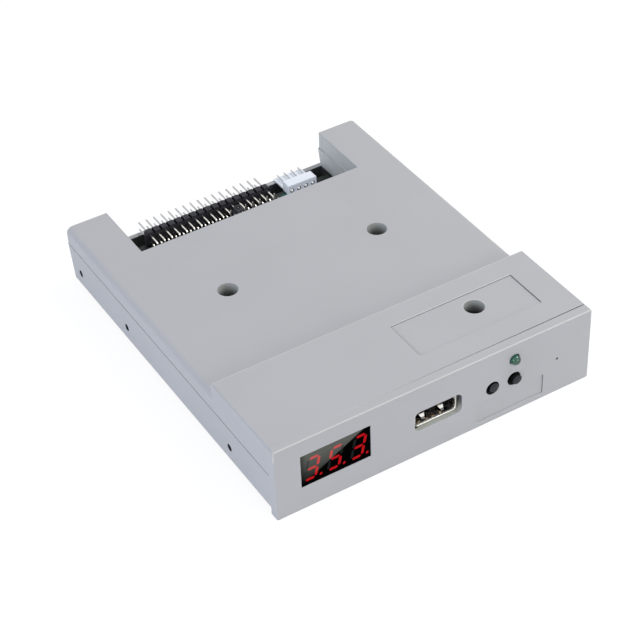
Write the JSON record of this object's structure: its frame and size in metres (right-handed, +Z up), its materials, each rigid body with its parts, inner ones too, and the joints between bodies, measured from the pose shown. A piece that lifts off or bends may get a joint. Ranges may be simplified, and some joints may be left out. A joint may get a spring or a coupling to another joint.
{
  "type": "floppy drive emulator",
  "caption": "Flat drive-sized case with a segment screen, USB socket, keys and a lamp in its bezel, and pin headers in an open rear bay; it stands in for a floppy drive.",
  "frame": {"origin": "middle of the overall box in X and Y, at the height of the bezel's lower edge", "axes": "+X to the right seen from the front, +Y from the bezel to the rear connectors, +Z up"},
  "size_m": [0.1016, 0.123, 0.0245],
  "materials": {
    "case_plastic": "light grey moulded plastic, fine satin grain",
    "screw_steel": "dark zinc plated steel",
    "board_lacquer": "dark blue-green solder lacquer",
    "header_plastic": "black moulded plastic, slight sheen",
    "pin_metal": "bright tinned metal",
    "power_plastic": "white, slightly translucent nylon",
    "socket_metal": "bright plated sheet steel",
    "socket_plastic": "black plastic with contact strips",
    "window_gloss": "glossy black window, lit red segments show through",
    "display_plastic": "black cast resin",
    "key_plastic": "black moulded plastic",
    "switch_plastic": "black moulded plastic",
    "lamp_green": "clear green cast resin, unlit",
    "chip_plastic": "black moulding compound"
  },
  "bodies": {
    "case": {"lower_shell": "case_plastic", "upper_shell": "case_plastic", "case_screw_1": "screw_steel", "case_screw_2": "screw_steel", "case_screw_3": "screw_steel", "main_board": "board_lacquer", "display_board": "board_lacquer", "floppy_header_housing": "header_plastic", "jumper_header": "header_plastic", "floppy_pin_upper_01": "pin_metal", "floppy_pin_upper_02": "pin_metal", "floppy_pin_upper_03": "pin_metal", "floppy_pin_upper_04": "pin_metal", "floppy_pin_upper_05": "pin_metal", "floppy_pin_upper_06": "pin_metal", "floppy_pin_upper_07": "pin_metal", "floppy_pin_upper_08": "pin_metal", "floppy_pin_upper_09": "pin_metal", "floppy_pin_upper_10": "pin_metal", "floppy_pin_upper_11": "pin_metal", "floppy_pin_upper_12": "pin_metal", "floppy_pin_upper_13": "pin_metal", "floppy_pin_upper_14": "pin_metal", "floppy_pin_upper_15": "pin_metal", "floppy_pin_upper_16": "pin_metal", "floppy_pin_upper_17": "pin_metal", "floppy_pin_lower_01": "pin_metal", "floppy_pin_lower_02": "pin_metal", "floppy_pin_lower_03": "pin_metal", "floppy_pin_lower_04": "pin_metal", "floppy_pin_lower_05": "pin_metal", "floppy_pin_lower_06": "pin_metal", "floppy_pin_lower_07": "pin_metal", "floppy_pin_lower_08": "pin_metal", "floppy_pin_lower_09": "pin_metal", "floppy_pin_lower_10": "pin_metal", "floppy_pin_lower_11": "pin_metal", "floppy_pin_lower_12": "pin_metal", "floppy_pin_lower_13": "pin_metal", "floppy_pin_lower_14": "pin_metal", "floppy_pin_lower_15": "pin_metal", "floppy_pin_lower_16": "pin_metal", "floppy_pin_lower_17": "pin_metal", "power_pin_1": "pin_metal", "power_pin_2": "pin_metal", "power_pin_3": "pin_metal", "power_pin_4": "pin_metal", "power_header_housing": "power_plastic", "usb_shell": "socket_metal", "usb_tongue": "socket_plastic", "display_lens": "window_gloss", "display_body": "display_plastic", "switch_body_left": "switch_plastic", "switch_body_right": "switch_plastic", "indicator_led": "lamp_green", "microcontroller": "chip_plastic", "voltage_regulator": "chip_plastic"},
    "button_left": {"button_left": "key_plastic"},
    "button_right": {"button_right": "key_plastic"},
    "jumper_cap": {"jumper_cap": "header_plastic"}
  },
  "joints": [
    {"name": "button_left_press", "type": "slide", "parent": "case", "child": "button_left", "axis": [0, 1, 0], "range_m": [0, 0.00025], "stiffness_N_per_m": 4000},
    {"name": "button_right_press", "type": "slide", "parent": "case", "child": "button_right", "axis": [0, 1, 0], "range_m": [0, 0.00025], "stiffness_N_per_m": 4000},
    {"name": "jumper_cap_pull", "type": "slide", "parent": "case", "child": "jumper_cap", "axis": [0, 0, 1], "range_m": [0, 0.006]}
  ]
}
